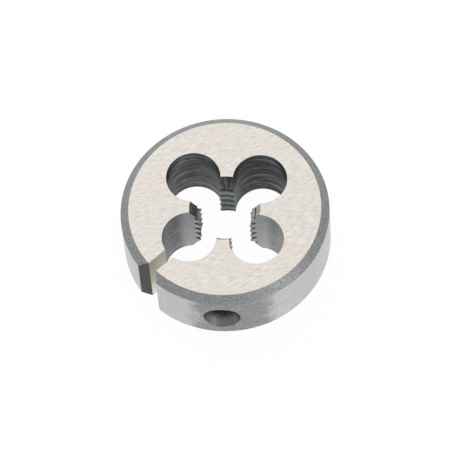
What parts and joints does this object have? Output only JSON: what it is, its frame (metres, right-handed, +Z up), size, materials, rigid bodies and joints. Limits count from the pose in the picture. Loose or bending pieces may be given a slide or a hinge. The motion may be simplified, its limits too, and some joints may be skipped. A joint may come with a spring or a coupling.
{
  "type": "round threading die",
  "caption": "Split round die for cutting an external metric thread, with lands, chip clearance holes, a spreading notch and rim dimples.",
  "frame": {"origin": "on the bore's axis at the back face that the die stands on", "axes": "+Z up the bore, +X and +Y through two of the cutting lands, slot at 225 degrees"},
  "size_m": [0.02, 0.02, 0.007],
  "materials": {
    "tool_steel": "ground faces, turned rim, drilled and tapped inside"
  },
  "bodies": {
    "root": {"die_body": "tool_steel"}
  },
  "joints": []
}
